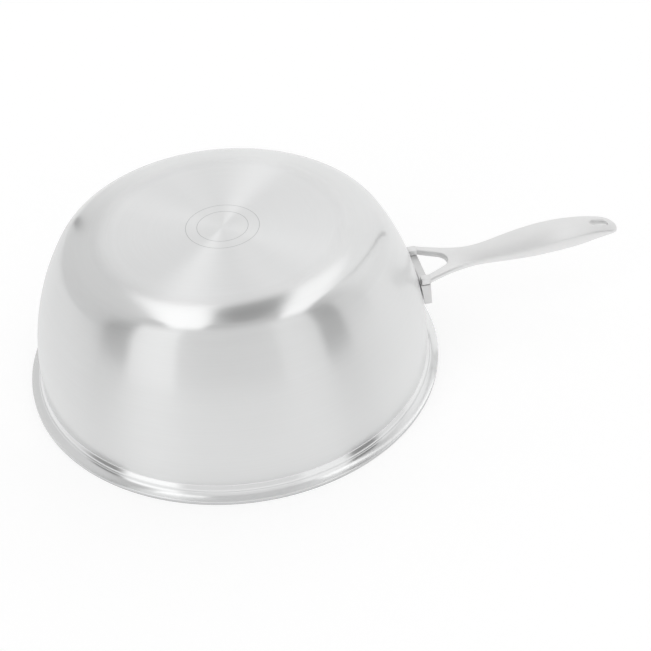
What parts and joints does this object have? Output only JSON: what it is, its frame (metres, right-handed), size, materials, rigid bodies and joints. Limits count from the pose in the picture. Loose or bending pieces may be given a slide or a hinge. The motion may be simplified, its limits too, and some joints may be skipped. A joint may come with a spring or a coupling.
{
  "type": "saute pan",
  "caption": "Curved-wall clad stainless saute pan with a flared pouring lip and a welded, forked long handle with a hanging slot, lying on its rim.",
  "frame": {"origin": "middle of the base's outer face, which the pan stands on in use", "axes": "+Z out of the base, so up while the pan lies on its rim as stored; +X out along the handle; +Y completes a right-handed frame"},
  "size_m": [0.3836, 0.26, 0.099],
  "materials": {
    "outer_steel": "satin, turned in circles on the base, with a brighter lip",
    "inner_steel": "satin, turned in circles",
    "bonding_alloy": "rolled, seen only as lines in the trimmed lip",
    "core_aluminium": "rolled, seen only as a line in the trimmed lip",
    "foot_steel": "satin, with broken edges",
    "handle_steel": "cast and satin polished"
  },
  "bodies": {
    "root": {"outer_skin": "outer_steel", "outer_alloy_ply": "bonding_alloy", "core_ply": "core_aluminium", "inner_alloy_ply": "bonding_alloy", "inner_skin": "inner_steel", "handle_foot": "foot_steel", "handle": "handle_steel"}
  },
  "joints": []
}
